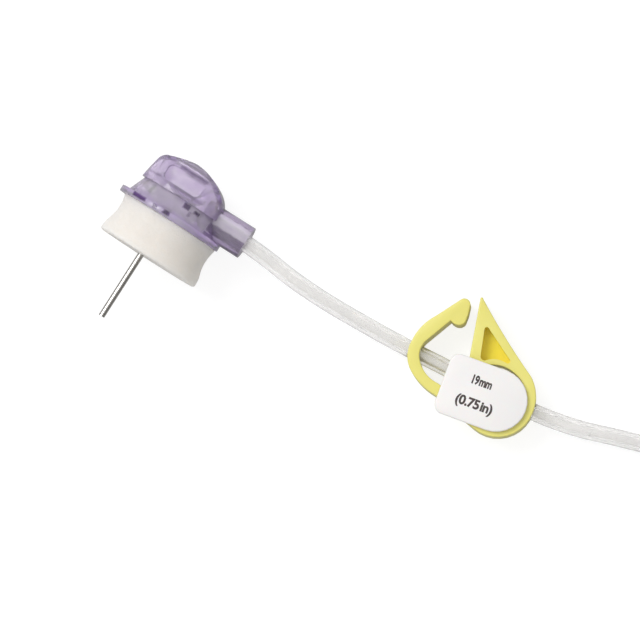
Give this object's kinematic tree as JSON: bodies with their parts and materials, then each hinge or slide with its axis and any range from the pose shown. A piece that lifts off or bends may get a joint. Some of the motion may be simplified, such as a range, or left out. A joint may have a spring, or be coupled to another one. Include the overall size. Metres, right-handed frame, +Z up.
{
  "type": "huber needle",
  "caption": "Right-angle port access needle set: domed hub on a foam pad, steel cannula, clear extension tube with a pinch clamp and size tag, and a capped luer lock.",
  "frame": {"origin": "on the table, below the middle of the hub with its needle", "axes": "the hub lies on its side: +Y from the needle's tip to the dome, +X the way the tube leaves the hub, +Z up from the table"},
  "size_m": [0.1437, 0.0493, 0.0188],
  "materials": {
    "hub_plastic": "translucent moulded, gloss",
    "needle_steel": "drawn tube, bright",
    "pad_foam": "fine open foam",
    "tube_vinyl": "clear soft vinyl",
    "clamp_plastic": "satin moulded",
    "tag_plastic": "satin, printed size",
    "luer_plastic": "clear moulded",
    "cap_plastic": "moulded"
  },
  "bodies": {
    "set": {"hub_base": "hub_plastic", "hub_cap": "hub_plastic", "cannula": "needle_steel", "foam_pad": "pad_foam", "extension_tube": "tube_vinyl", "tube_coil": "tube_vinyl", "tube_tail": "tube_vinyl", "luer_connector": "luer_plastic"},
    "clamp": {"clamp_body": "clamp_plastic", "size_tag": "tag_plastic"},
    "catch": {"clamp_catch": "clamp_plastic"},
    "lever": {"clamp_lever": "clamp_plastic"},
    "cap": {"luer_cap": "cap_plastic"}
  },
  "joints": [
    {"name": "clamp_slide", "type": "slide", "parent": "set", "child": "clamp", "axis": [0.9957, 0.0924, 0], "range_m": [-0.002, 0.003]},
    {"name": "lever_close", "type": "hinge", "parent": "clamp", "child": "lever", "pos_m": [0.06093, 0.01512, 0.0038], "axis": [0, 0, 1], "range_deg": [0, 28], "stiffness_Nm_per_rad": 0.02, "deforming": ["extension_tube"]},
    {"name": "catch_flex", "type": "hinge", "parent": "clamp", "child": "catch", "pos_m": [0.04326, 0.0064, 0.0038], "axis": [0, 0, 1], "range_deg": [0, 15]},
    {"name": "cap_off", "type": "slide", "parent": "set", "child": "cap", "axis": [0.9568, 0.2908, 0], "range_m": [0, 0.009]}
  ],
  "couplings": [
    {"joint": "catch_flex", "follows": "lever_close", "ratio": 0.52}
  ]
}
